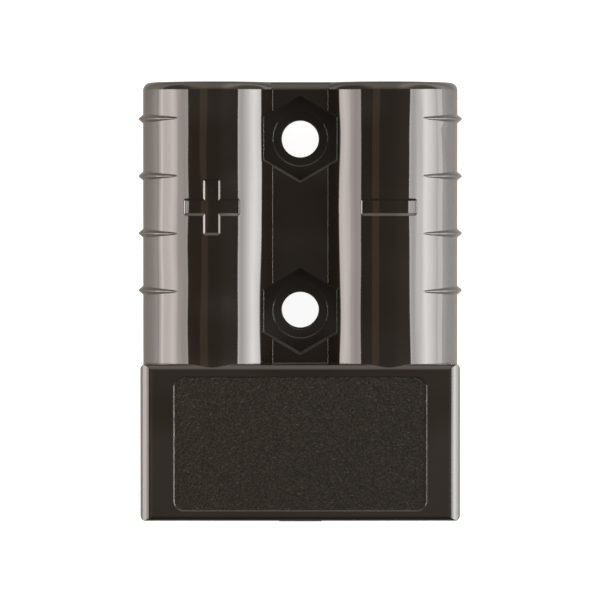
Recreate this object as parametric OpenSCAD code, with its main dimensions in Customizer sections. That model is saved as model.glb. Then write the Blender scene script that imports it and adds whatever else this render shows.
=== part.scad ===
// Genderless two-pole power connector: one moulded housing that carries two
// sprung copper contacts. Two alike connectors mate when one is turned over.
// The cables enter at +Y, the mating end is at -Y, and the hood is on top.

/* [Housing body] */
// Length from the rear face to the front edge of the hood
housing_l = 50.2; // [47:0.1:56]
// Radius of the two cable lobes
lobe_r = 8.1; // [7.8:0.05:9]
// Distance between the two lobe axes, where the contacts lie
contact_pitch = 20.2; // [19.6:0.1:23]
// Thickness of the web that joins the lobes
web_t = 8.4; // [7.4:0.1:10]
// Radius of the rounded rear edges
rear_edge_r = 0.9; // [0.3:0.05:1.2]
// Radius in the corners where the lobes meet the web
web_fillet_r = 0.1; // [0.1:0.05:1]
// Depth of the wide cable entry behind each barrel
entry_depth = 6.5; // [4:0.1:6.8]
// How much wider in radius the cable entry is than the barrel cavity
entry_step = 0.4; // [0.1:0.05:0.5]
// Lead-in chamfer at the mouth of the cable entry
entry_lead = 0.4; // [0.1:0.05:0.8]

/* [Hood] */
// Length of the hood from its rear face to its front edge
hood_l = 17.9; // [16:0.1:20]
// How far the hood stands out past the lobes at each side
hood_side_rise = 0.1; // [0.05:0.01:0.5]
// How far the top of the hood stands above the lobe crests
hood_top_rise = 0.05; // [0.02:0.01:0.4]
// Thickness of the roof of the hood
roof_t = 2.2; // [1.6:0.1:2.5]
// Thickness of the side walls of the hood
side_wall_t = 2; // [1.5:0.1:2.3]
// Thickness of the wall that closes the back of the hood
hood_back_t = 1.8; // [1:0.1:2.4]
// Radius of the long top edges
hood_edge_r = 1.4; // [0.5:0.1:1.6]
// Radius of the four corners seen from above
hood_corner_r = 0.6; // [0.2:0.05:1.2]
// Radius of the front top edge
hood_front_r = 0.55; // [0.1:0.05:0.8]
// Radius of the edges round the back of the hood
hood_rear_r = 0.6; // [0.3:0.05:1.2]
// Width of the divider between the two contact chambers
divider_w = 4.9; // [4:0.1:5.5]
// How far the nose of the divider stands out past the hood
nose_out = 0.4; // [0.3:0.05:1]
// Height of the nose above the mating plane
nose_h = 3; // [2:0.1:4]

/* [Mating fingers] */
// Gap at each face that slides past the other connector
mating_gap = 0.25; // [0.15:0.05:0.4]
// Gap between the mating plane and the plastic on each side of it
plane_gap = 0.15; // [0.05:0.05:0.3]
// Distance from the edge of the hood back to the tips of the fingers
finger_setback = 3; // [2.8:0.1:4]
// Radius of the corners of a finger tip seen from above
finger_corner_r = 1; // [0.4:0.1:1.2]
// Lead-in chamfer under a finger tip
finger_lead = 1.2; // [0.5:0.1:1.6]

/* [Contacts] */
// Outer diameter of the crimp barrel
barrel_od = 8.2; // [7.6:0.1:8.8]
// Bore of the crimp barrel, for the stripped wire
barrel_id = 5.8; // [5:0.1:6.4]
// Length of the round barrel
barrel_l = 15; // [14:0.1:16]
// Lead-in chamfer at the mouth of the barrel
barrel_lead = 0.4; // [0.2:0.05:0.6]
// Depth of the bore in the barrel
barrel_depth = 13.5; // [11:0.1:13.8]
// Distance from the rear face in to the mouth of the barrel
barrel_inset = 7; // [6.9:0.1:8]
// Length over which the tube is pressed flat
taper_l = 5; // [4:0.1:6]
// Width of the blade
blade_w = 9.2; // [8.6:0.1:9.6]
// Thickness of the blade
blade_t = 2.2; // [1.8:0.1:2.5]
// Height of the blade face above the mating plane before mating
blade_preload = 0.15; // [0.1:0.05:0.3]
// How far the hooked tip drops below the blade face
hook_drop = 4; // [3.6:0.1:4.4]
// Inside bend radius of the hooked tip
hook_bend_r = 0.4; // [0.2:0.1:0.8]
// Gap between the hook and the finger tip
hook_gap = 0.3; // [0.2:0.05:0.5]
// Gap at each side of the blade
blade_side_gap = 0.25; // [0.15:0.05:0.4]
// How far the blade can float down onto its finger
blade_float = 0.3; // [0.25:0.05:0.5]
// Radial gap between the edges of the blade and the barrel cavity
cavity_gap = 0.4; // [0.3:0.05:0.45]

/* [Leaf springs] */
// Distance from the rear end of each spring to the taper of its contact
spring_rear_gap = 0.5; // [0.2:0.1:3]
// Width of each leaf spring
spring_w = 6; // [4.5:0.1:7]
// Thickness of the spring strip
spring_t = 0.4; // [0.3:0.05:0.6]
// Rise of the bow at the middle of the spring
spring_bow = 1.2; // [0.8:0.1:1.4]
// Gap above and below the spring
spring_gap = 0.05; // [0.03:0.01:0.1]
// Gap at the sides and ends of the spring in its groove
spring_end_gap = 0.2; // [0.1:0.05:0.4]
// Plastic left in front of the spring groove
groove_wall_t = 1.2; // [0.8:0.1:1.6]

/* [Screw holes] */
// Diameter of the two screw holes
screw_hole_d = 4.3; // [4:0.1:4.6]
// Distance between the two screw holes
screw_spacing = 19.8; // [18.5:0.1:21]
// Distance from the rear face to the rear screw hole
screw_inset = 6.5; // [6:0.1:7.5]
// Width across the flats of the nut pockets at their floor
nut_flats = 8.45; // [8:0.05:9]
// Depth of the nut pockets below the web
nut_depth = 1.5; // [1:0.1:2.2]
// How much each wall of a nut pocket leans outwards up to the web
nut_draft = 0.1; // [0.02:0.01:0.2]
// Diameter of the shallow spot face round each hole
spot_d = 6.3; // [5.4:0.1:7]
// Depth of that spot face
spot_depth = 0.25; // [0.1:0.05:0.4]

/* [Grip ribs] */
// Number of ribs on each flank
rib_count = 4; // [2:1:5]
// Distance between ribs
rib_pitch = 6.6; // [5:0.1:7]
// Distance from the rear face to the first rib
rib_inset = 4.2; // [3:0.05:5]
// Radius of the crest of a rib
rib_crest_r = 0.2; // [0.1:0.05:0.4]
// Angle between each flank of a rib and the middle plane of the rib
rib_flank_angle = 40; // [30:1:50]
// How far a rib stands out of the flank
rib_rise = 0.5; // [0.2:0.05:0.6]
// How far the ring of a rib is set out from the lobe axis
rib_offset = 0.88; // [0.8:0.02:1.1]

/* [Marks and label field] */
// Length of the arms of the plus and minus marks
mark_l = 6.4; // [5:0.1:7]
// Width of those arms
mark_w = 1.95; // [1.2:0.05:2.2]
// Depth of the marks below the surface of the lobe
mark_depth = 0.2; // [0.15:0.01:0.5]
// Corner radius of the marks
mark_corner_r = 0.45; // [0.1:0.05:0.5]
// How much each wall of a mark leans outwards up to its rim
mark_lean = 0.25; // [0.1:0.01:0.4]
// Distance from the rear face to the middle of the marks
mark_inset = 14.35; // [10:0.05:18]
// Width of the recessed label field on the hood
label_w = 28.9; // [20:0.1:31]
// Length of the label field along the hood
label_l = 15.35; // [12:0.05:15.7]
// Distance from the hood edge to the label field
label_margin = 1.15; // [0.6:0.05:1.4]
// Depth of the label field
label_depth = 0.25; // [0.1:0.05:0.5]
// Corner radius of the label field
label_corner_r = 1.2; // [0.4:0.1:2.5]

/* [Hidden] */

$fn = 96;
HULL_FN = 32;
// Overshoot of a cut past the face that it opens
CUT = 1;
// Flat left between the two rounds at each edge of a blade
EDGE_FLAT = 0.02;
// Thickness of the two end slices that a hull joins, and a small overlap
SLICE = 0.02;
// Share of the pressed taper that reaches into the blade passage
TAPER_IN_PASSAGE = 0.1;
// How far the root of a rib reaches in below the flank of the lobe
RIB_ROOT = 0.3;

PLASTIC = "#26231f";
SILVER = "#c9c8c3";
STEEL = "#9da0a3";

// Stations along Y, from the cables to the mating end
rear_y = (housing_l + nose_out) / 2;
hood_edge_y = rear_y - housing_l;
hood_rear_y = hood_edge_y + hood_l;
step_y = hood_rear_y - hood_back_t;
finger_tip_y = hood_edge_y + finger_setback;
barrel_rear_y = rear_y - barrel_inset;
taper_y = barrel_rear_y - barrel_l;
blade_y = taper_y - taper_l;
shoulder_y = blade_y + TAPER_IN_PASSAGE * taper_l;
groove_front_y = finger_tip_y + groove_wall_t;
spring_front_y = groove_front_y + spring_end_gap;
spring_l = blade_y - spring_rear_gap - spring_front_y;

// Places across X
contact_x = contact_pitch / 2;
hood_half_w = contact_x + lobe_r + hood_side_rise;
chamber_x = hood_half_w - side_wall_t;
finger_in_x = divider_w / 2 + mating_gap;
finger_out_x = chamber_x - mating_gap;

// Heights above the mating plane
hood_top_z = lobe_r + hood_top_rise;
roof_z = hood_top_z - roof_t;
finger_under_z = mating_gap - roof_z;
blade_under_z = blade_preload - blade_t;
trough_z = blade_under_z - blade_float;
passage_z = trough_z + hook_drop + mating_gap;
groove_z = blade_under_z - spring_bow - spring_t - 2 * spring_gap;
pocket_z = web_t / 2 - nut_depth;

cavity_r = blade_w / 2 + cavity_gap;
entry_r = cavity_r + entry_step;

// The part stands on the two lobes, so the mating plane lies one lobe radius up
module stood() {
    translate([0, 0, lobe_r]) children();
}

// The same thing on the positive lobe (-X) and on the negative lobe (+X)
module both_sides() {
    for (side = [-1, 1])
        translate([side * contact_x, 0, 0]) children();
}

// A profile in X and Z, drawn along Y from y_from to y_to
module along_y(y_from, y_to) {
    translate([0, y_to, 0])
        rotate([90, 0, 0])
            linear_extrude(y_to - y_from) children();
}

// A profile in Y and Z, drawn along X to half_w at each side
module along_x(half_w) {
    translate([-half_w, 0, 0])
        rotate([90, 0, 90])
            linear_extrude(2 * half_w) children();
}

// A box from one corner to the opposite one
module block(low, high) {
    translate(low) cube(high - low);
}

// A rectangle with four round corners, centred
module rounded_rect(size, r) {
    square([size.x - 2 * r, size.y], center = true);
    square([size.x, size.y - 2 * r], center = true);
    for (sx = [-1, 1], sy = [-1, 1])
        translate([sx * (size.x / 2 - r), sy * (size.y / 2 - r)]) circle(r);
}

// A lobe: a round bar along Y whose rear rim is rounded
module lobe() {
    l = rear_y - step_y;
    translate([0, step_y, 0])
        rotate([-90, 0, 0])
            rotate_extrude() {
                square([lobe_r, l - rear_edge_r]);
                square([lobe_r - rear_edge_r, l]);
                translate([lobe_r - rear_edge_r, l - rear_edge_r])
                    circle(rear_edge_r);
            }
}

// The web between the lobes, with its two rear edges rounded
module web() {
    l = rear_y - step_y;
    along_x(contact_x)
        intersection() {
            translate([step_y - l / 2, 0])
                rounded_rect([3 * l, web_t], rear_edge_r);
            translate([step_y, -web_t]) square([l, 2 * web_t]);
        }
}

// The fillets between one lobe and the web, as a profile in X and Z from the lobe axis
module web_fillets() {
    r = web_fillet_r;
    // The cutting circle is a little large, so that it crosses both faces
    cut_r = r + SLICE / 2;
    centre_z = web_t / 2 + r;
    centre_x = sqrt(pow(lobe_r + r, 2) - pow(centre_z, 2));
    for (up = [0, 1])
        mirror([0, up])
            difference() {
                polygon([
                    [centre_x, centre_z],
                    [centre_x, web_t / 2 - r],
                    [centre_x - 2 * r, web_t / 2 - r],
                    [centre_x * (1 - 2 * r / lobe_r), centre_z * (1 - 2 * r / lobe_r)]
                ]);
                translate([centre_x, centre_z]) circle(cut_r);
            }
}

// A grip rib: a ring set outwards in the lobe, so that it shows as a crescent. Across,
// it is a wedge with a round crest, so it also narrows to a point where it sinks in.
module grip_rib() {
    ring_r = lobe_r + rib_rise - rib_offset - rib_crest_r;
    touch = rib_crest_r * [sin(rib_flank_angle), cos(rib_flank_angle)];
    root = rib_rise - rib_crest_r + RIB_ROOT;
    root_half_w = touch.y + (touch.x + root) * tan(rib_flank_angle);
    translate([rib_offset, 0, 0])
        rotate([-90, 0, 0])
            rotate_extrude()
                translate([ring_r, 0]) {
                    circle(rib_crest_r);
                    polygon([
                        touch,
                        [-root, root_half_w],
                        [-root, -root_half_w],
                        [touch.x, -touch.y]
                    ]);
                }
}

// The outside of the hood above the mating plane
module hood_block() {
    l = hood_l;
    intersection() {
        along_y(hood_edge_y, hood_rear_y)
            intersection() {
                rounded_rect([2 * hood_half_w, 2 * hood_top_z], hood_edge_r);
                translate([-hood_half_w, plane_gap])
                    square([2 * hood_half_w, hood_top_z]);
            }
        linear_extrude(hood_top_z + CUT)
            translate([0, hood_edge_y + l / 2])
                rounded_rect([2 * hood_half_w, l], hood_corner_r);
        along_x(hood_half_w + CUT)
            intersection() {
                translate([hood_edge_y + l, 0])
                    rounded_rect([2 * l, 2 * hood_top_z], hood_front_r);
                translate([hood_rear_y - l, 0])
                    rounded_rect([2 * l, 2 * hood_top_z], hood_rear_r);
            }
    }
}

// The key that leads the divider in, standing out in front of the hood
module divider_nose() {
    along_y(hood_edge_y - nose_out, step_y)
        translate([-divider_w / 2, plane_gap])
            square([divider_w, nose_h - plane_gap]);
}

// A finger that reaches under the hood of the other connector
module finger() {
    w = finger_out_x - finger_in_x;
    l = step_y - finger_tip_y;
    mid_x = (finger_in_x + finger_out_x) / 2;
    intersection() {
        translate([mid_x, finger_tip_y + l, finger_under_z])
            linear_extrude(-plane_gap - finger_under_z)
                rounded_rect([w, 2 * l], finger_corner_r);
        along_x(hood_half_w)
            polygon([
                [step_y, finger_under_z],
                [finger_tip_y + finger_lead, finger_under_z],
                [finger_tip_y, finger_under_z + finger_lead],
                [finger_tip_y, 0],
                [step_y, 0]
            ]);
    }
}

// The chamber under the hood that takes a finger of the other connector
module chamber() {
    block([divider_w / 2, hood_edge_y - CUT, 0],
          [chamber_x, step_y, roof_z]);
}

// Cable entry, barrel cavity, blade passage and spring groove of one contact
module contact_way() {
    half_w = blade_w / 2 + blade_side_gap;
    groove_w = spring_w / 2 + spring_end_gap;
    translate([0, rear_y, 0]) rotate([90, 0, 0]) {
        cylinder(h = entry_depth, r = entry_r);
        cylinder(h = rear_y - shoulder_y, r = cavity_r);
        translate([0, 0, -CUT])
            cylinder(h = CUT + entry_lead, r1 = entry_r + entry_lead + CUT, r2 = entry_r);
    }
    block([-half_w, finger_tip_y - CUT, trough_z], [half_w, step_y + CUT, 0]);
    block([-half_w, step_y - CUT, trough_z], [half_w, shoulder_y + CUT, passage_z]);
    block([-groove_w, groove_front_y, groove_z],
          [groove_w, spring_front_y + spring_l + spring_end_gap, trough_z + CUT]);
}

// A screw hole with its drafted nut pocket on top and a spot face in the pocket
module screw_way() {
    top_flats = nut_flats + 2 * nut_draft / nut_depth * web_t;
    cylinder(h = 4 * web_t, d = screw_hole_d, center = true);
    translate([0, 0, pocket_z - spot_depth]) cylinder(h = web_t, d = spot_d);
    translate([0, 0, pocket_z])
        rotate([0, 0, 90])
            cylinder(h = web_t, d1 = nut_flats / cos(30), d2 = top_flats / cos(30), $fn = 6);
}

// A bar of a polarity mark: sunk to an even depth round the lobe, with slanted walls
module mark_bar(size) {
    slope = mark_lean / mark_depth;
    floor_r = lobe_r - mark_depth;
    rim_z = sqrt(pow(lobe_r, 2) - pow(size.x / 2, 2));
    floor_half = size / 2 - mark_lean * [1, 1];
    top_half = size / 2 + CUT * slope * [1, 1];
    translate([0, rear_y - mark_inset, 0])
        intersection() {
            rotate([90, 0, 0])
                rotate_extrude()
                    polygon([
                        [floor_r, floor_half.y],
                        [lobe_r + CUT, top_half.y],
                        [lobe_r + CUT, -top_half.y],
                        [floor_r, -floor_half.y]
                    ]);
            along_y(-top_half.y - CUT, top_half.y + CUT)
                polygon([
                    [floor_half.x, rim_z - mark_depth],
                    [top_half.x, rim_z + CUT],
                    [-top_half.x, rim_z + CUT],
                    [-floor_half.x, rim_z - mark_depth]
                ]);
            linear_extrude(2 * lobe_r)
                rounded_rect(size + 2 * SLICE * [1, 1], mark_corner_r);
        }
}

module label_field() {
    translate([0, hood_edge_y + label_margin + label_l / 2, hood_top_z - label_depth])
        linear_extrude(label_depth + CUT)
            rounded_rect([label_w, label_l], label_corner_r);
}

// The pocket between the roots of the fingers for the nose of the other divider
module nose_pocket() {
    block([-finger_in_x, step_y - CUT, -nose_h - mating_gap],
          [finger_in_x, step_y + nose_out + mating_gap, -plane_gap]);
}

module housing() {
    color(PLASTIC)
        stood()
            difference() {
                union() {
                    both_sides() lobe();
                    web();
                    for (side = [0, 1])
                        mirror([side, 0, 0])
                            translate([-contact_x, 0, 0])
                                along_y(step_y, rear_y - rear_edge_r) web_fillets();
                    hood_block();
                    divider_nose();
                    for (side = [0, 1])
                        mirror([side, 0, 0]) {
                            finger();
                            for (i = [0 : rib_count - 1])
                                translate([contact_x, rear_y - rib_inset - i * rib_pitch, 0])
                                    grip_rib();
                        }
                }
                for (side = [0, 1])
                    mirror([side, 0, 0]) chamber();
                both_sides() contact_way();
                for (i = [0, 1])
                    translate([0, rear_y - screw_inset - i * screw_spacing, 0]) screw_way();
                translate([-contact_x, 0, 0]) {
                    mark_bar([mark_l, mark_w]);
                    mark_bar([mark_w, mark_l]);
                }
                translate([contact_x, 0, 0]) mark_bar([mark_l, mark_w]);
                label_field();
                nose_pocket();
            }
}

// The cross-section of the tube where it is pressed flat: a bar with round edges
module flat_section() {
    rounded_rect([blade_w, blade_t], blade_t / 2 - EDGE_FLAT / 2);
}

// A contact: crimp barrel, pressed taper, blade, and a tip bent down round the finger
module contact() {
    mid_z = blade_under_z + blade_t / 2;
    bend_r = hook_bend_r + blade_t / 2;
    bend_y = finger_tip_y - hook_gap + hook_bend_r;
    bend_z = mid_z - bend_r;
    hook_end_z = blade_preload - hook_drop;
    difference() {
        union() {
            translate([0, barrel_rear_y, 0])
                rotate([90, 0, 0])
                    cylinder(h = barrel_l, d = barrel_od);
            hull() {
                translate([0, taper_y + SLICE, 0])
                    rotate([90, 0, 0])
                        cylinder(h = SLICE, d = barrel_od, $fn = HULL_FN);
                along_y(blade_y, blade_y + SLICE)
                    translate([0, mid_z]) flat_section($fn = HULL_FN);
            }
            along_y(bend_y, blade_y + SLICE)
                translate([0, mid_z]) flat_section();
            translate([0, bend_y, bend_z])
                rotate([0, 90, 0])
                    rotate([0, 0, 180])
                        rotate_extrude(angle = 90)
                            translate([bend_r, 0]) rotate([0, 0, 90]) flat_section();
            translate([0, bend_y - bend_r, hook_end_z])
                linear_extrude(bend_z - hook_end_z) flat_section();
        }
        translate([0, barrel_rear_y + CUT, 0])
            rotate([90, 0, 0])
                cylinder(h = barrel_depth + CUT, d = barrel_id);
        translate([0, barrel_rear_y + CUT, 0])
            rotate([90, 0, 0])
                cylinder(h = CUT + barrel_lead, d1 = barrel_id + 2 * (barrel_lead + CUT), d2 = barrel_id);
    }
}

module contact_positive() {
    color(SILVER) stood() translate([-contact_x, 0, 0]) contact();
}

module contact_negative() {
    color(SILVER) stood() translate([contact_x, 0, 0]) contact();
}

// A leaf spring: a strip bowed up in the middle, with its ends on the groove floor
module leaf_spring() {
    bow_r = (spring_l * spring_l / 4 + spring_bow * spring_bow) / (2 * spring_bow);
    mid_y = spring_front_y + spring_l / 2;
    foot_z = groove_z + spring_gap;
    along_x(spring_w / 2)
        translate([mid_y, foot_z])
            intersection() {
                translate([0, spring_bow - bow_r])
                    difference() {
                        circle(bow_r + spring_t, $fn = 360);
                        circle(bow_r, $fn = 360);
                    }
                translate([-spring_l / 2, 0]) square([spring_l, spring_bow + spring_t]);
            }
}

module spring_positive() {
    color(STEEL) stood() translate([-contact_x, 0, 0]) leaf_spring();
}

module spring_negative() {
    color(STEEL) stood() translate([contact_x, 0, 0]) leaf_spring();
}

housing();
contact_positive();
contact_negative();
spring_positive();
spring_negative();
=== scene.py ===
"""Dresses the genderless power connector: its finishes, its label field and its studio stage."""

import math

import bpy
import numpy as np
from bpy.props import FloatProperty, PointerProperty, StringProperty
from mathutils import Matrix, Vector


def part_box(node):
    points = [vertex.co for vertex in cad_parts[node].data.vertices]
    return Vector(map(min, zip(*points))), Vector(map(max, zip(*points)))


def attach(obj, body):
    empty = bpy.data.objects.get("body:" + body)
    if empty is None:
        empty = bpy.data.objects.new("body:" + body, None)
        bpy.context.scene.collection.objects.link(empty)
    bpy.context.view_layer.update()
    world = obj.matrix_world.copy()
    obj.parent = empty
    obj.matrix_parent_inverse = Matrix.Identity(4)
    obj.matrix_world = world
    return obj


bl_info = {
    "name": "Genderless power connector",
    "version": (1, 0, 0),
    "blender": (4, 5, 0),
    "location": "View3D > Sidebar > Connector",
    "description": "Adds the finishes, label field and studio stage of a two-pole power connector",
    "category": "Add Mesh",
}

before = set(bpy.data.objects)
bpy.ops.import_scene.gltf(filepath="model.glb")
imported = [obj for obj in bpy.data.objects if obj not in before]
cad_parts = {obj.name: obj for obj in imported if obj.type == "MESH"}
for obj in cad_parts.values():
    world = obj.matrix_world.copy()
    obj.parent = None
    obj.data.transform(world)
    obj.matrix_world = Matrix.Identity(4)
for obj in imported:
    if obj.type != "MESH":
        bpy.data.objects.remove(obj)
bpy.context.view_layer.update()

MM = 0.001

HOUSING_LOW, HOUSING_HIGH = (Vector(corner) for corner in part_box("housing"))

# The distance between the screw holes, the place of the rear one, and a height just under
# the top of the web
SCREW_SPACING = 19.8 * MM
REAR_SCREW_Y = 18.8 * MM
WEB_TOP = 12.25 * MM

# How far from the middle the inner flanks begin to stand out, are fullest and meet the web
FLANK_START = 5.6 * MM
FLANK_FULLEST = 3.6 * MM
FLANK_FOOT = 3.18 * MM

# How far the change from the hood's gloss to the lobes' gloss reaches into the hood
GLOSS_STEP = 0.25 * MM

POLYCARBONATE_IOR = 1.585
ACRYLIC_IOR = 1.49
WHITE = "#ffffff"


# Settings


class HousingSettings(bpy.types.PropertyGroup):
    colour_dark: StringProperty(
        name="Dark tone", description="Darker tone of the black moulding", default="#181411"
    )
    colour_light: StringProperty(
        name="Light tone", description="Lighter tone of the black moulding", default="#1f1a16"
    )
    lobe_roughness: FloatProperty(
        name="Lobe roughness",
        description="Roughness of the lobes, moulded against a polished tool",
        default=0.05,
    )
    hood_roughness: FloatProperty(
        name="Hood roughness",
        description="Roughness of the hood, moulded against a plainer tool",
        default=0.1,
    )
    fullness_at_pockets: FloatProperty(
        name="Fullness at pockets",
        description="How far the inner flanks stand out beside the nut pockets",
        default=0.044 * MM,
        unit="LENGTH",
    )
    fullness_between: FloatProperty(
        name="Fullness between pockets",
        description="How far the inner flanks stand out between the nut pockets",
        default=0.115 * MM,
        unit="LENGTH",
    )
    foot_spread: FloatProperty(
        name="Foot spread",
        description="How far the flank stands out again where it meets the web",
        default=0.075 * MM,
        unit="LENGTH",
    )
    hood_length: FloatProperty(
        name="Hood length",
        description="Length of the hood from its back to its front edge",
        default=17.9 * MM,
        unit="LENGTH",
    )
    nose_out: FloatProperty(
        name="Nose",
        description="How far the nose of the divider stands out past the hood",
        default=0.4 * MM,
        unit="LENGTH",
    )
    flow_pitch: FloatProperty(
        name="Flow pitch",
        description="Size of the clouds that the melt leaves in the skin",
        default=9 * MM,
        unit="LENGTH",
    )
    edge_radius: FloatProperty(
        name="Edge radius",
        description="Radius of the small moulded edges",
        default=0.11 * MM,
        unit="LENGTH",
    )
    wave_pitch: FloatProperty(
        name="Wave pitch",
        description="Distance between the shallow waves of the skin",
        default=9 * MM,
        unit="LENGTH",
    )
    wave_height: FloatProperty(
        name="Wave height",
        description="Height of the shallow waves of the skin",
        default=0.18 * MM,
        unit="LENGTH",
    )
    # Painted shade: the dark specks of the label field stand for the shade in its pits
    grit_painted_shade: StringProperty(
        name="Pit tone", description="Tone in the pits of the label field", default="#0d0b08"
    )
    # Painted glints: the light specks of the label field stand for the gloss that its peaks catch
    grit_painted_glint: StringProperty(
        name="Peak tone", description="Tone on the peaks of the label field", default="#312a24"
    )
    grit_roughness: FloatProperty(
        name="Grit roughness",
        description="Roughness of the small faces between the pits",
        default=0.19,
    )
    grit_pitch: FloatProperty(
        name="Grit pitch",
        description="Size of the pits that spark erosion leaves",
        default=0.12 * MM,
        unit="LENGTH",
    )
    # The specks are painted shade and painted glints in the colour of the label field
    speck_pitch: FloatProperty(
        name="Speck pitch",
        description="Size of the light and dark specks that the pits make to the eye",
        default=0.17 * MM,
        unit="LENGTH",
    )
    grit_height: FloatProperty(
        name="Grit height",
        description="Height of the grain on the label field",
        default=0.07 * MM,
        unit="LENGTH",
    )
    grit_grid: FloatProperty(
        name="Grit grid",
        description="Spacing of the mesh that carries the grain",
        default=0.08 * MM,
        unit="LENGTH",
    )
    label_width: FloatProperty(
        name="Label width",
        description="Width of the label field across the hood",
        default=28.9 * MM,
        unit="LENGTH",
    )
    label_length: FloatProperty(
        name="Label length",
        description="Length of the label field along the hood",
        default=15.35 * MM,
        unit="LENGTH",
    )
    label_margin: FloatProperty(
        name="Label margin",
        description="Distance from the front edge of the hood to the label field",
        default=1.15 * MM,
        unit="LENGTH",
    )
    label_corner: FloatProperty(
        name="Label corner",
        description="Corner radius of the label field",
        default=1.2 * MM,
        unit="LENGTH",
    )
    label_fillet: FloatProperty(
        name="Label fillet",
        description="Width of the small fillet inside the border of the label field",
        default=0.14 * MM,
        unit="LENGTH",
    )
    label_depth: FloatProperty(
        name="Label depth",
        description="Depth of the label field below the top of the hood",
        default=0.25 * MM,
        unit="LENGTH",
    )


class ContactSettings(bpy.types.PropertyGroup):
    colour: StringProperty(name="Silver", description="Bright silver plate", default="#ebe7df")
    tarnish: StringProperty(name="Tarnish", description="Faint tarnish", default="#d3cab9")
    tarnish_pitch: FloatProperty(
        name="Tarnish pitch",
        description="Size of the clouds of tarnish",
        default=6 * MM,
        unit="LENGTH",
    )
    draw_line_pitch: FloatProperty(
        name="Drawing lines",
        description="Distance between the fine lines left by drawing the tube",
        default=0.12 * MM,
        unit="LENGTH",
    )
    draw_line_depth: FloatProperty(
        name="Line depth",
        description="Depth of the fine lines left by drawing the tube",
        default=0.004 * MM,
        unit="LENGTH",
    )
    polish_roughness: FloatProperty(
        name="Polish roughness", description="Roughness between the drawing lines", default=0.16
    )
    line_roughness: FloatProperty(
        name="Line roughness", description="Roughness in the drawing lines", default=0.34
    )


class SpringSettings(bpy.types.PropertyGroup):
    colour: StringProperty(name="Steel", description="Bare stainless steel", default="#a3a7aa")
    roll_line_pitch: FloatProperty(
        name="Rolling lines",
        description="Distance between the fine lines left by rolling the strip",
        default=0.15 * MM,
        unit="LENGTH",
    )
    polish_roughness: FloatProperty(
        name="Polish roughness", description="Roughness between the rolling lines", default=0.22
    )
    line_roughness: FloatProperty(
        name="Line roughness", description="Roughness in the rolling lines", default=0.38
    )


class StageSettings(bpy.types.PropertyGroup):
    camera_distance: FloatProperty(
        name="Camera distance",
        description="Distance from the camera to the point that it looks at",
        default=520 * MM,
        unit="LENGTH",
    )
    camera_tilt: FloatProperty(
        name="Camera tilt",
        description="How far the camera leans towards the cable end from straight above",
        default=math.radians(1.44),
        subtype="ANGLE",
    )
    camera_lens: FloatProperty(
        name="Lens", description="Focal length in millimetres", default=269.4
    )
    floor_size: FloatProperty(
        name="Floor size", description="Half width of the floor", default=3.0, unit="LENGTH"
    )
    floor_colour: StringProperty(
        name="Floor colour", description="Colour of the acrylic sheet", default="#b4b2b0"
    )
    floor_roughness: FloatProperty(
        name="Floor roughness", description="Roughness of the polished floor", default=0.25
    )
    floor_to_camera: FloatProperty(
        name="Floor to camera", description="White that the camera sees in the floor", default=0.93
    )
    floor_in_reflections: FloatProperty(
        name="Floor in reflections",
        description="White that reflections see in the floor, beside its own light",
        default=1.0,
    )
    # Painted light: the floor's glow in reflections is this many times as bright on the right
    floor_painted_light_right: FloatProperty(
        name="Floor on the right",
        description="How many times as white reflections see the floor on the right",
        default=1.6,
    )
    # Painted shade: the floor's glow in reflections fades out over this distance round the
    # connector
    painted_floor_shade: FloatProperty(
        name="Floor shade",
        description="How far the shade round the connector reaches in reflections",
        default=45 * MM,
        unit="LENGTH",
    )


SETTINGS = {
    "connector_housing": HousingSettings,
    "connector_contact": ContactSettings,
    "connector_spring": SpringSettings,
    "connector_stage": StageSettings,
}


# Helpers


def linear(hex_colour, alpha=1.0):
    """An sRGB hex colour as linear red, green, blue and alpha."""
    srgb = [int(hex_colour[i : i + 2], 16) / 255 for i in (1, 3, 5)]
    return (*[c / 12.92 if c <= 0.04045 else ((c + 0.055) / 1.055) ** 2.4 for c in srgb], alpha)


def add_node(tree, kind, inputs=None, **settings):
    """Adds a node. Each of its inputs is given a value, or the socket that feeds it."""
    node = tree.nodes.new(kind)
    for name, value in settings.items():
        setattr(node, name, value)
    for name, value in (inputs or {}).items():
        if isinstance(value, bpy.types.NodeSocket):
            tree.links.new(value, node.inputs[name])
        else:
            node.inputs[name].default_value = value
    return node


def fill_ramp(ramp, steps):
    """Gives a new colour ramp its grey steps, each a position and a value."""
    stops = ramp.color_ramp.elements
    for _ in steps[2:]:
        stops.new(0.5)
    for stop, (position, value) in zip(stops, steps):
        stop.position = position
        stop.color = (value, value, value, 1)


def seen_in_reflections(tree, ray):
    """1 for a ray that comes off a glossy surface or through a clear one, and 0 for others."""
    mirrored = add_node(
        tree,
        "ShaderNodeMath",
        {0: ray.outputs["Is Glossy Ray"], 1: ray.outputs["Is Transmission Ray"]},
        operation="ADD",
    )
    return mirrored.outputs["Value"]


def new_material(name):
    """An empty node material, its tree and its output node."""
    material = bpy.data.materials.new(name)
    material.use_nodes = True
    tree = material.node_tree
    tree.nodes.clear()
    return material, tree, add_node(tree, "ShaderNodeOutputMaterial")


def give(obj, material):
    """Puts one material on the whole object."""
    obj.data.materials.clear()
    obj.data.materials.append(material)


def add_object(name, data):
    """Adds an object that shows a mesh, lamp or camera to the scene."""
    obj = bpy.data.objects.new(name, data)
    bpy.context.scene.collection.objects.link(obj)
    return obj


def hood_back_y():
    """Where the back of the hood stands along the connector."""
    body = bpy.context.scene.connector_housing
    return HOUSING_LOW.y + body.nose_out + body.hood_length


# Materials


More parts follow.
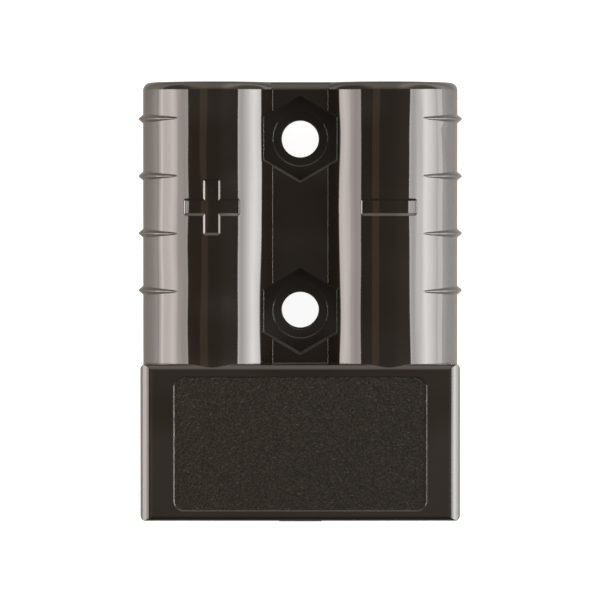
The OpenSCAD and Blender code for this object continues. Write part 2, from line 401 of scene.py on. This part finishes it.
def flank_fullness(tree, parts):
    """How far the inner flanks of the lobes stand out past a circle, in metres.

    Only above the web and behind the hood, the fullness rises along the flank by a smooth
    step. It is least beside the nut pockets, where the wall is thin, and most between them,
    as a cosine of the screw spacing. At the foot of the flank a straight rise is added,
    which eases it into the web.
    """
    body = bpy.context.scene.connector_housing
    turn = 2 * math.pi / SCREW_SPACING
    phase = add_node(
        tree,
        "ShaderNodeMath",
        {0: parts.outputs["Y"], 1: turn, 2: -turn * REAR_SCREW_Y},
        operation="MULTIPLY_ADD",
    )
    beside_pockets = add_node(
        tree, "ShaderNodeMath", {0: phase.outputs["Value"]}, operation="COSINE"
    )
    swell = add_node(
        tree,
        "ShaderNodeMapRange",
        {
            "Value": beside_pockets.outputs["Value"],
            "From Min": -1.0,
            "To Min": body.fullness_between,
            "To Max": body.fullness_at_pockets,
        },
    )
    from_middle = add_node(
        tree, "ShaderNodeMath", {0: parts.outputs["X"]}, operation="ABSOLUTE"
    )
    flank = add_node(
        tree,
        "ShaderNodeMapRange",
        {
            "Value": from_middle.outputs["Value"],
            "From Min": FLANK_START,
            "From Max": FLANK_FULLEST,
        },
        interpolation_type="SMOOTHSTEP",
    )
    foot = add_node(
        tree,
        "ShaderNodeMapRange",
        {
            "Value": from_middle.outputs["Value"],
            "From Min": FLANK_FULLEST,
            "From Max": FLANK_FOOT,
            "To Max": body.foot_spread,
        },
    )
    fullness = add_node(
        tree,
        "ShaderNodeMath",
        {0: flank.outputs["Result"], 1: swell.outputs["Result"], 2: foot.outputs["Result"]},
        operation="MULTIPLY_ADD",
    )
    above_web = add_node(
        tree, "ShaderNodeMath", {0: parts.outputs["Z"], 1: WEB_TOP}, operation="GREATER_THAN"
    )
    behind_hood = add_node(
        tree, "ShaderNodeMath", {0: parts.outputs["Y"], 1: hood_back_y()}, operation="GREATER_THAN"
    )
    on_lobes = add_node(
        tree,
        "ShaderNodeMath",
        {0: above_web.outputs["Value"], 1: behind_hood.outputs["Value"]},
        operation="MULTIPLY",
    )
    kept = add_node(
        tree,
        "ShaderNodeMath",
        {0: fullness.outputs["Value"], 1: on_lobes.outputs["Value"]},
        operation="MULTIPLY",
    )
    return kept.outputs["Value"]


def black_polycarbonate():
    """Polycarbonate, injection moulded in a polished tool and coloured black through.

    To the eye it is a near-black, faintly warm body under a clear gloss, a little duller on
    the hood. Its edges are slightly round, its skin has shallow random waves, and its inner
    flanks are slightly full, so that long reflections wander.
    """
    body = bpy.context.scene.connector_housing
    material, tree, output = new_material("black_polycarbonate_moulded")
    place = add_node(tree, "ShaderNodeTexCoord").outputs["Object"]
    flow = add_node(
        tree,
        "ShaderNodeTexNoise",
        {"Vector": place, "Scale": 1 / body.flow_pitch, "Detail": 2.0},
    )
    tone = add_node(
        tree,
        "ShaderNodeMix",
        {
            "Factor": flow.outputs["Fac"],
            "A": linear(body.colour_dark),
            "B": linear(body.colour_light),
        },
        data_type="RGBA",
    )
    parts = add_node(tree, "ShaderNodeSeparateXYZ", {0: place})
    gloss = add_node(
        tree,
        "ShaderNodeMapRange",
        {
            "Value": parts.outputs["Y"],
            "From Min": hood_back_y() - GLOSS_STEP,
            "From Max": hood_back_y(),
            "To Min": body.hood_roughness,
            "To Max": body.lobe_roughness,
        },
    )
    round_edges = add_node(tree, "ShaderNodeBevel", {"Radius": body.edge_radius}, samples=6)
    waves = add_node(
        tree,
        "ShaderNodeTexNoise",
        {"Vector": place, "Scale": 1 / body.wave_pitch, "Detail": 0.0},
    )
    height = add_node(
        tree,
        "ShaderNodeMath",
        {0: waves.outputs["Fac"], 1: body.wave_height, 2: flank_fullness(tree, parts)},
        operation="MULTIPLY_ADD",
    )
    skin = add_node(
        tree,
        "ShaderNodeBump",
        {
            "Strength": 1.0,
            "Distance": 1.0,
            "Height": height.outputs["Value"],
            "Normal": round_edges.outputs["Normal"],
        },
    )
    shader = add_node(
        tree,
        "ShaderNodeBsdfPrincipled",
        {
            "Base Color": tone.outputs["Result"],
            "Roughness": gloss.outputs["Result"],
            "IOR": POLYCARBONATE_IOR,
            "Normal": skin.outputs["Normal"],
        },
    )
    tree.links.new(shader.outputs["BSDF"], output.inputs["Surface"])
    return material


# The noise values at which the painted specks of the label field, painted shade in the
# pits and painted glints on the peaks, are darkest and lightest
SPECK_RANGE = (0.42, 0.78)


def spark_eroded_polycarbonate():
    """The same polycarbonate where the tool was spark eroded, on the label field.

    To the eye it is a dull, finely speckled grey-black: the pits scatter the gloss. The
    specks are painted into its colour: painted shade in the pits and painted glints on the
    peaks. Real pits are a few hundredths of a millimetre wide. They and their specks are
    drawn coarser, so that they show.
    """
    body = bpy.context.scene.connector_housing
    material, tree, output = new_material("black_polycarbonate_spark_eroded")
    place = add_node(tree, "ShaderNodeTexCoord").outputs["Object"]
    grit = add_node(
        tree,
        "ShaderNodeTexNoise",
        {"Vector": place, "Scale": 1 / body.speck_pitch, "Detail": 2.0, "Roughness": 0.7},
    )
    darkest, lightest = SPECK_RANGE
    specks = add_node(
        tree,
        "ShaderNodeMapRange",
        {"Value": grit.outputs["Fac"], "From Min": darkest, "From Max": lightest},
    )
    # Painted shade and painted glints: the specks run from the shade of the pits to the gloss of
    # the peaks
    tone = add_node(
        tree,
        "ShaderNodeMix",
        {
            "Factor": specks.outputs["Result"],
            "A": linear(body.grit_painted_shade),
            "B": linear(body.grit_painted_glint),
        },
        data_type="RGBA",
    )
    shader = add_node(
        tree,
        "ShaderNodeBsdfPrincipled",
        {
            "Base Color": tone.outputs["Result"],
            "Roughness": body.grit_roughness,
            "IOR": POLYCARBONATE_IOR,
        },
    )
    tree.links.new(shader.outputs["BSDF"], output.inputs["Surface"])
    return material


# How fast the noise of the lines changes in X, Y and Z: slowly in Y, so they run that way
DRAWN_OUT = (1.0, 0.04, 1.0)
ROLLED_OUT = (1.0, 0.05, 1.0)


def silver_plated_copper():
    """Copper drawn to a tube, pressed, and plated with bright silver.

    To the eye it is a warm white metal, with the fine lines of the drawing still there
    along its length, and a faint cloud of tarnish. The lines are drawn several times as far
    apart as real ones, so that they show.
    """
    contact = bpy.context.scene.connector_contact
    material, tree, output = new_material("silver_plated_copper_drawn")
    place = add_node(tree, "ShaderNodeTexCoord").outputs["Object"]
    along = add_node(tree, "ShaderNodeMapping", {"Vector": place, "Scale": DRAWN_OUT})
    lines = add_node(
        tree,
        "ShaderNodeTexNoise",
        {"Vector": along.outputs["Vector"], "Scale": 1 / contact.draw_line_pitch, "Detail": 3.0},
    )
    cloud = add_node(
        tree, "ShaderNodeTexNoise", {"Vector": place, "Scale": 1 / contact.tarnish_pitch}
    )
    tone = add_node(
        tree,
        "ShaderNodeMix",
        {
            "Factor": cloud.outputs["Fac"],
            "A": linear(contact.colour),
            "B": linear(contact.tarnish),
        },
        data_type="RGBA",
    )
    rough = add_node(
        tree,
        "ShaderNodeMapRange",
        {
            "Value": lines.outputs["Fac"],
            "To Min": contact.polish_roughness,
            "To Max": contact.line_roughness,
        },
    )
    scratches = add_node(
        tree,
        "ShaderNodeBump",
        {
            "Strength": 0.25,
            "Distance": contact.draw_line_depth,
            "Height": lines.outputs["Fac"],
        },
    )
    shader = add_node(
        tree,
        "ShaderNodeBsdfPrincipled",
        {
            "Base Color": tone.outputs["Result"],
            "Metallic": 1.0,
            "Roughness": rough.outputs["Result"],
            "Normal": scratches.outputs["Normal"],
        },
    )
    tree.links.new(shader.outputs["BSDF"], output.inputs["Surface"])
    return material


def stainless_strip():
    """Stainless spring strip, cold rolled, slit and bent.

    To the eye it is a cool grey metal with a soft sheen that runs along the strip. The lines
    are drawn several times as far apart as real ones, so that they show.
    """
    spring = bpy.context.scene.connector_spring
    material, tree, output = new_material("stainless_steel_rolled_strip")
    place = add_node(tree, "ShaderNodeTexCoord").outputs["Object"]
    along = add_node(tree, "ShaderNodeMapping", {"Vector": place, "Scale": ROLLED_OUT})
    roll = add_node(
        tree,
        "ShaderNodeTexNoise",
        {"Vector": along.outputs["Vector"], "Scale": 1 / spring.roll_line_pitch, "Detail": 2.0},
    )
    rough = add_node(
        tree,
        "ShaderNodeMapRange",
        {
            "Value": roll.outputs["Fac"],
            "To Min": spring.polish_roughness,
            "To Max": spring.line_roughness,
        },
    )
    shader = add_node(
        tree,
        "ShaderNodeBsdfPrincipled",
        {
            "Base Color": linear(spring.colour),
            "Metallic": 1.0,
            "Roughness": rough.outputs["Result"],
        },
    )
    tree.links.new(shader.outputs["BSDF"], output.inputs["Surface"])
    return material


def pale_floor():
    """White acrylic, cast and polished. To the eye it is a plain white, with a soft gloss.

    The camera sees it white, and it keeps the shadow. Beside its own lit white, reflections
    see a painted glow in it: the glow fades into a painted shade round the connector, and
    is painted whiter on the right.
    """
    stage = bpy.context.scene.connector_stage
    material, tree, output = new_material("white_acrylic_sheet")
    ray = add_node(tree, "ShaderNodeLightPath")
    place = add_node(tree, "ShaderNodeTexCoord").outputs["Object"]
    x = add_node(tree, "ShaderNodeSeparateXYZ", {0: place}).outputs["X"]
    from_middle = add_node(tree, "ShaderNodeMath", {0: x}, operation="ABSOLUTE")
    # Painted shade: the glow that reflections see fades out towards the connector
    clear = add_node(
        tree,
        "ShaderNodeMapRange",
        {
            "Value": from_middle.outputs["Value"],
            "From Min": HOUSING_HIGH.x,
            "From Max": HOUSING_HIGH.x + stage.painted_floor_shade,
            "To Max": stage.floor_in_reflections,
        },
        interpolation_type="SMOOTHSTEP",
    )
    # Painted light: that glow is painted whiter on the right
    painted_whiter_right = add_node(
        tree,
        "ShaderNodeMapRange",
        {
            "Value": x,
            "From Min": HOUSING_LOW.x,
            "From Max": HOUSING_HIGH.x,
            "To Min": 1.0,
            "To Max": stage.floor_painted_light_right,
        },
    )
    painted_glow = add_node(
        tree,
        "ShaderNodeMath",
        {0: clear.outputs["Result"], 1: painted_whiter_right.outputs["Result"]},
        operation="MULTIPLY",
    )
    in_reflections = add_node(
        tree,
        "ShaderNodeMath",
        {0: seen_in_reflections(tree, ray), 1: painted_glow.outputs["Value"]},
        operation="MULTIPLY",
    )
    strength = add_node(
        tree,
        "ShaderNodeMath",
        {
            0: ray.outputs["Is Camera Ray"],
            1: stage.floor_to_camera,
            2: in_reflections.outputs["Value"],
        },
        operation="MULTIPLY_ADD",
    )
    shader = add_node(
        tree,
        "ShaderNodeBsdfPrincipled",
        {
            "Base Color": linear(stage.floor_colour),
            "Roughness": stage.floor_roughness,
            "IOR": ACRYLIC_IOR,
            "Emission Color": linear(WHITE),
            "Emission Strength": strength.outputs["Value"],
        },
    )
    tree.links.new(shader.outputs["BSDF"], output.inputs["Surface"])
    return material


# Stage

# The point that the photograph is centred on, at half the height of the lobes
CAMERA_AIM = Vector((-0.035 * MM, 0.155 * MM, 8.1 * MM))

# The two diffuser walls. Each has its place, its two ends along the connector, its colour,
# and its brightness, where 1 is white, at heights above the floor in millimetres.
WALLS = (
    {
        "name": "left_wall",
        "x": -95 * MM,
        "ends": (-37 * MM, 31 * MM),
        "colour": "#fff4ee",
        "steps": (
            (0, 3.2),
            (6, 4.4),
            (9, 6.6),
            (12, 7.2),
            (15, 6.8),
            (32, 7.7),
            (46, 9.4),
            (57, 8.0),
            (65, 5.9),
            (88, 4.6),
            (114, 5.5),
        ),
    },
    {
        "name": "right_wall",
        "x": 86 * MM,
        "ends": (-37 * MM, 31 * MM),
        "colour": "#fffbf9",
        "steps": (
            (0, 4.4),
            (16, 5.7),
            (22, 7.4),
            (33, 9.8),
            (49, 12.4),
            (69, 8.9),
            (93, 6.0),
            (107, 6.2),
            (118, 8.4),
        ),
    },
)

# A dim wooden beam overhead, left of the connector, that its lobes reflect. This is its
# width and length, its place, its brightness, where 1 is white, and its colour.
BEAM_SIZE = (43 * MM, 300 * MM)
BEAM_PLACE = (-59 * MM, 0, 204 * MM)
BEAM_BRIGHTNESS = 0.35
BEAM_COLOUR = "#ffcea4"

# The room's light follows the x, y and z parts of the direction that one looks in. This is
# its brightness, where 1 is white, by the y part, which is positive towards the cable end.
ROOM = (
    (-0.6, 0.08),
    (-0.25, 0.3),
    (-0.06, 0.38),
    (-0.03, 0.12),
    (0.015, 0.1),
    (0.05, 0.28),
    (0.19, 0.8),
    (0.6, 1.85),
)
# A colour ramp holds values up to 1, so it holds the brightness divided by this
ROOM_FULL = 2.0
# How many times as bright it is on the left and on the right, and between which x parts
# it changes
ROOM_LEFT, ROOM_RIGHT = 0.9, 1.55
LEFT_X, RIGHT_X = 0.12, 0.4
# The share that its light rear loses at the sides. The loss grows between two x parts,
# whichever side they are on, and from the first y part to the second.
SIDE_LOSS = 0.7
SIDE_FROM_X, SIDE_TO_X = 0.35, 0.7
REAR_FROM_Y, REAR_TO_Y = 0.05, 0.3
# Its colour at the front and at the rear
ROOM_FRONT, ROOM_REAR = "#faf5ea", "#ffefe2"
# The z part at which the white of the horizon ends
HORIZON_Z = 0.06


def add_lamp(name, size, brightness, colour, place):
    """A rectangular lamp that faces down and is hidden from the camera.

    Its face has the given brightness when its power is that times pi times its area.
    """
    lamp = bpy.data.lights.new(name, "AREA")
    lamp.shape = "RECTANGLE"
    lamp.size, lamp.size_y = size
    lamp.energy = brightness * math.pi * lamp.size * lamp.size_y
    lamp.color = linear(colour)[:3]
    obj = add_object(name, lamp)
    obj.location = place
    obj.visible_camera = False
    return obj


def add_wall(name, x, ends, colour, steps):
    """An upright diffuser, lit from behind, whose brightness follows its steps upwards."""
    low, high = steps[0][0], steps[-1][0]
    peak = max(value for _, value in steps)
    size = (ends[1] - ends[0], (high - low) * MM)
    wall = add_lamp(name, size, peak, colour, (x, sum(ends) / 2, (low + high) / 2 * MM))
    outwards = Vector((math.copysign(1, x), 0, 0))
    wall.rotation_euler = outwards.to_track_quat("Z", "Y").to_euler()
    wall.data.use_nodes = True
    tree = wall.data.node_tree
    tree.nodes.clear()
    across = add_node(tree, "ShaderNodeNewGeometry").outputs["Parametric"]
    up = add_node(tree, "ShaderNodeSeparateXYZ", {0: across}).outputs["Y"]
    ramp = add_node(tree, "ShaderNodeValToRGB", {"Fac": up})
    fill_ramp(ramp, [((height - low) / (high - low), value / peak) for height, value in steps])
    glow = add_node(tree, "ShaderNodeEmission", {"Strength": ramp.outputs["Color"]})
    output = add_node(tree, "ShaderNodeOutputLight")
    tree.links.new(glow.outputs["Emission"], output.inputs["Surface"])


def add_camera():
    """The camera of the product photograph, which leans a little from straight above."""
    stage = bpy.context.scene.connector_stage
    lean = stage.camera_tilt
    data = bpy.data.cameras.new("photo_camera")
    data.lens = stage.camera_lens
    data.sensor_width = 36
    data.clip_start = 0.01
    camera = add_object("photo_camera", data)
    away = Vector((0, math.sin(lean), math.cos(lean)))
    camera.location = CAMERA_AIM + stage.camera_distance * away
    camera.rotation_euler = (-lean, 0, 0)
    bpy.context.scene.camera = camera


def add_world():
    """A warm grey room: dark where the camera hangs overhead, and lighter behind the cable end.

    It is also lighter on the right. Its horizon is white to the camera and in reflections,
    as the sheet is.
    """
    world = bpy.data.worlds.new("studio")
    bpy.context.scene.world = world
    world.use_nodes = True
    tree = world.node_tree
    tree.nodes.clear()
    output = add_node(tree, "ShaderNodeOutputWorld")
    ray = add_node(tree, "ShaderNodeLightPath")
    towards = add_node(tree, "ShaderNodeTexCoord").outputs["Generated"]
    parts = add_node(tree, "ShaderNodeSeparateXYZ", {0: towards})
    low, high = ROOM[0][0], ROOM[-1][0]
    lengthwise = add_node(
        tree,
        "ShaderNodeMapRange",
        {"Value": parts.outputs["Y"], "From Min": low, "From Max": high},
    )
    ramp = add_node(tree, "ShaderNodeValToRGB", {"Fac": lengthwise.outputs["Result"]})
    fill_ramp(ramp, [((y - low) / (high - low), value / ROOM_FULL) for y, value in ROOM])
    lighter_right = add_node(
        tree,
        "ShaderNodeMapRange",
        {
            "Value": parts.outputs["X"],
            "From Min": LEFT_X,
            "From Max": RIGHT_X,
            "To Min": ROOM_FULL * ROOM_LEFT,
            "To Max": ROOM_FULL * ROOM_RIGHT,
        },
        interpolation_type="SMOOTHSTEP",
    )
    sideways = add_node(
        tree, "ShaderNodeMath", {0: parts.outputs["X"]}, operation="ABSOLUTE"
    )
    dim_sides = add_node(
        tree,
        "ShaderNodeMapRange",
        {
            "Value": sideways.outputs["Value"],
            "From Min": SIDE_FROM_X,
            "From Max": SIDE_TO_X,
            "To Max": -SIDE_LOSS,
        },
        interpolation_type="SMOOTHSTEP",
    )
    behind = add_node(
        tree,
        "ShaderNodeMapRange",
        {"Value": parts.outputs["Y"], "From Min": REAR_FROM_Y, "From Max": REAR_TO_Y},
    )
    kept = add_node(
        tree,
        "ShaderNodeMath",
        {0: dim_sides.outputs["Result"], 1: behind.outputs["Result"], 2: 1.0},
        operation="MULTIPLY_ADD",
    )
    full = add_node(
        tree,
        "ShaderNodeMath",
        {0: ramp.outputs["Color"], 1: lighter_right.outputs["Result"]},
        operation="MULTIPLY",
    )
    brightness = add_node(
        tree,
        "ShaderNodeMath",
        {0: full.outputs["Value"], 1: kept.outputs["Value"]},
        operation="MULTIPLY",
    )
    tint = add_node(
        tree,
        "ShaderNodeMix",
        {"Factor": parts.outputs["Y"], "A": linear(ROOM_FRONT), "B": linear(ROOM_REAR)},
        data_type="RGBA",
    )
    horizon = add_node(
        tree,
        "ShaderNodeMapRange",
        {"Value": parts.outputs["Z"], "From Max": HORIZON_Z, "To Min": 1.0, "To Max": 0.0},
    )
    mirrored_horizon = add_node(
        tree,
        "ShaderNodeMath",
        {0: seen_in_reflections(tree, ray), 1: horizon.outputs["Result"]},
        operation="MULTIPLY",
    )
    white = add_node(
        tree,
        "ShaderNodeMath",
        {0: mirrored_horizon.outputs["Value"], 1: ray.outputs["Is Camera Ray"]},
        operation="MAXIMUM",
    )
    room = add_node(
        tree,
        "ShaderNodeBackground",
        {"Color": tint.outputs["Result"], "Strength": brightness.outputs["Value"]},
    )
    sheet = add_node(tree, "ShaderNodeBackground", {"Color": linear(WHITE)})
    shader = add_node(
        tree,
        "ShaderNodeMixShader",
        {0: white.outputs["Value"], 1: room.outputs["Background"], 2: sheet.outputs["Background"]},
    )
    tree.links.new(shader.outputs["Shader"], output.inputs["Surface"])


def add_floor():
    """A flat sheet of acrylic at the height that the lobes stand on."""
    half = bpy.context.scene.connector_stage.floor_size
    corners = [(-half, -half, 0), (half, -half, 0), (half, half, 0), (-half, half, 0)]
    mesh = bpy.data.meshes.new("floor")
    mesh.from_pydata(corners, [], [(0, 1, 2, 3)])
    floor = add_object("floor", mesh)
    give(floor, pale_floor())


class CONNECTOR_OT_stage(bpy.types.Operator):
    """Add the room, the floor, two diffuser walls, a ceiling beam and the photograph's camera"""

    bl_idname = "connector.stage"
    bl_label = "Studio stage"

    def execute(self, context):
        add_world()
        add_floor()
        for wall in WALLS:
            add_wall(**wall)
        add_lamp("ceiling_beam", BEAM_SIZE, BEAM_BRIGHTNESS, BEAM_COLOUR, BEAM_PLACE)
        add_camera()
        context.scene.view_settings.view_transform = "Standard"
        return {"FINISHED"}


# Pieces

# The gap that is left between the grain's border and the wall of the housing's recess
HAIRLINE = 0.01 * MM
# How many rows make the fillet, and how steep it is at the border in degrees
FILLET_STEPS = 6
FILLET_SLOPE = 50
# How far the lowest grain lies above the recess's floor, and how far the skirt goes below it
GRAIN_LIFT = 0.004 * MM
SKIRT_DEPTH = 0.02 * MM
GRAIN_SEED = 5


class CONNECTOR_OT_housing(bpy.types.Operator):
    """Finish the moulded housing"""

    bl_idname = "connector.housing"
    bl_label = "Moulded housing"

    def execute(self, context):
        give(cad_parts["housing"], black_polycarbonate())
        return {"FINISHED"}


def smooth_noise(rows, columns, pitch, seed):
    """Even random grain, blurred to the pitch in grid cells, from 0 to 1.

    White noise is multiplied by a Gaussian in its Fourier transform, so it wraps round.
    """
    grain = np.random.default_rng(seed).standard_normal((rows, columns))
    across, down = np.meshgrid(np.fft.fftfreq(columns), np.fft.fftfreq(rows))
    passed = np.exp(-2 * (np.pi * pitch / 2) ** 2 * (across**2 + down**2))
    blurred = np.fft.ifft2(np.fft.fft2(grain) * passed).real
    return (blurred - blurred.min()) / (blurred.max() - blurred.min())


def grid_places(half, fillet, grid):
    """Places from -half to half, close together over both fillets and a grid apart between."""
    steps = np.linspace(0, fillet, FILLET_STEPS, endpoint=False)
    flat = half - fillet
    between = np.linspace(-flat, flat, int(2 * flat / grid))
    return np.concatenate([steps - half, between, half - steps[::-1]])


def label_grain():
    """The grained floor of the label field, and the small fillet round its border.

    Across each row the width follows the round corners: the half width less r minus the
    root of r squared less the square of how far the row is past the corner's centre. Inside
    the border the height is the floor of the field plus smooth random grain. Over the width
    of the fillet it rises as a parabola of the distance from the border, which in the
    corners is r less the distance from the corner's centre. A skirt goes down to the floor.
    """
    body = bpy.context.scene.connector_housing
    half_l, half_w = body.label_length / 2, body.label_width / 2 - HAIRLINE
    corner, fillet = body.label_corner, body.label_fillet
    v, u = (grid_places(half, fillet, body.grit_grid) for half in (half_l, half_w))
    past = np.clip(np.abs(v) - (half_l - corner), 0, corner)
    half = half_w - corner + np.sqrt(np.maximum(corner**2 - past**2, 0))
    x = half[:, None] * u[None, :] / half_w
    y = np.broadcast_to(v[:, None], x.shape)
    over_x, over_y = np.abs(x) - (half_w - corner), np.abs(y) - (half_l - corner)
    outside = np.hypot(np.maximum(over_x, 0), np.maximum(over_y, 0))
    border = corner - outside - np.minimum(np.maximum(over_x, over_y), 0)
    inward = np.clip(border / fillet, 0, 1)
    grain = smooth_noise(len(v), len(u), body.grit_pitch / body.grit_grid, GRAIN_SEED)
    floor_z = HOUSING_HIGH.z - body.label_depth
    rise = math.tan(math.radians(FILLET_SLOPE)) * fillet / 2 * (1 - inward) ** 2
    z = floor_z + GRAIN_LIFT + body.grit_height * grain * inward + rise
    middle_y = HOUSING_LOW.y + body.nose_out + body.label_margin + half_l
    top = np.stack([x, y + middle_y, z], axis=-1)
    index = np.arange(x.size).reshape(x.shape)
    quads = np.stack([index[:-1, :-1], index[:-1, 1:], index[1:, 1:], index[1:, :-1]], axis=-1)
    rim = np.concatenate([index[0], index[1:, -1], index[-1, -2::-1], index[-2:0:-1, 0]])
    below = top.reshape(-1, 3)[rim] * [1, 1, 0] + [0, 0, floor_z - SKIRT_DEPTH]
    low = index.size + np.arange(len(rim))
    skirt = np.stack([rim, low, np.roll(low, -1), np.roll(rim, -1)], axis=-1)
    faces = quads.reshape(-1, 4).tolist() + skirt.tolist() + [low[::-1].tolist()]
    mesh = bpy.data.meshes.new("label_grain")
    mesh.from_pydata(np.concatenate([top.reshape(-1, 3), below]).tolist(), [], faces)
    mesh.polygons.foreach_set("use_smooth", np.ones(len(mesh.polygons), bool))
    return add_object("label_grain", mesh)


class CONNECTOR_OT_label_field(bpy.types.Operator):
    """Add the spark-eroded grain of the label field on the hood"""

    bl_idname = "connector.label_field"
    bl_label = "Label field"

    def execute(self, context):
        grain = label_grain()
        give(grain, spark_eroded_polycarbonate())
        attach(grain, "root")
        return {"FINISHED"}


class CONNECTOR_OT_contacts(bpy.types.Operator):
    """Finish the two silver-plated contacts"""

    bl_idname = "connector.contacts"
    bl_label = "Contacts"

    def execute(self, context):
        silver = silver_plated_copper()
        for pole in ("positive", "negative"):
            give(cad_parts[f"contact_{pole}"], silver)
        return {"FINISHED"}


class CONNECTOR_OT_springs(bpy.types.Operator):
    """Finish the two leaf springs"""

    bl_idname = "connector.springs"
    bl_label = "Leaf springs"

    def execute(self, context):
        steel = stainless_strip()
        for pole in ("positive", "negative"):
            give(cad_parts[f"spring_{pole}"], steel)
        return {"FINISHED"}


class CONNECTOR_PT_panel(bpy.types.Panel):
    """Lists the connector's pieces and settings"""

    bl_idname = "CONNECTOR_PT_panel"
    bl_label = "Power connector"
    bl_space_type = "VIEW_3D"
    bl_region_type = "UI"
    bl_category = "Connector"

    def draw(self, context):
        for operator in OPERATORS:
            self.layout.operator(operator.bl_idname)
        for name, group in SETTINGS.items():
            for prop in group.__annotations__:
                self.layout.prop(getattr(context.scene, name), prop)


OPERATORS = (
    CONNECTOR_OT_stage,
    CONNECTOR_OT_housing,
    CONNECTOR_OT_label_field,
    CONNECTOR_OT_contacts,
    CONNECTOR_OT_springs,
)
CLASSES = (*SETTINGS.values(), *OPERATORS, CONNECTOR_PT_panel)


def register():
    for cls in CLASSES:
        bpy.utils.register_class(cls)
    for name, group in SETTINGS.items():
        setattr(bpy.types.Scene, name, PointerProperty(type=group))


def unregister():
    for name in SETTINGS:
        delattr(bpy.types.Scene, name)
    for cls in reversed(CLASSES):
        bpy.utils.unregister_class(cls)


def main():
    register()
    bpy.ops.connector.stage()
    bpy.ops.connector.housing()
    bpy.ops.connector.label_field()
    bpy.ops.connector.contacts()
    bpy.ops.connector.springs()


if __name__ == "__main__":
    main()
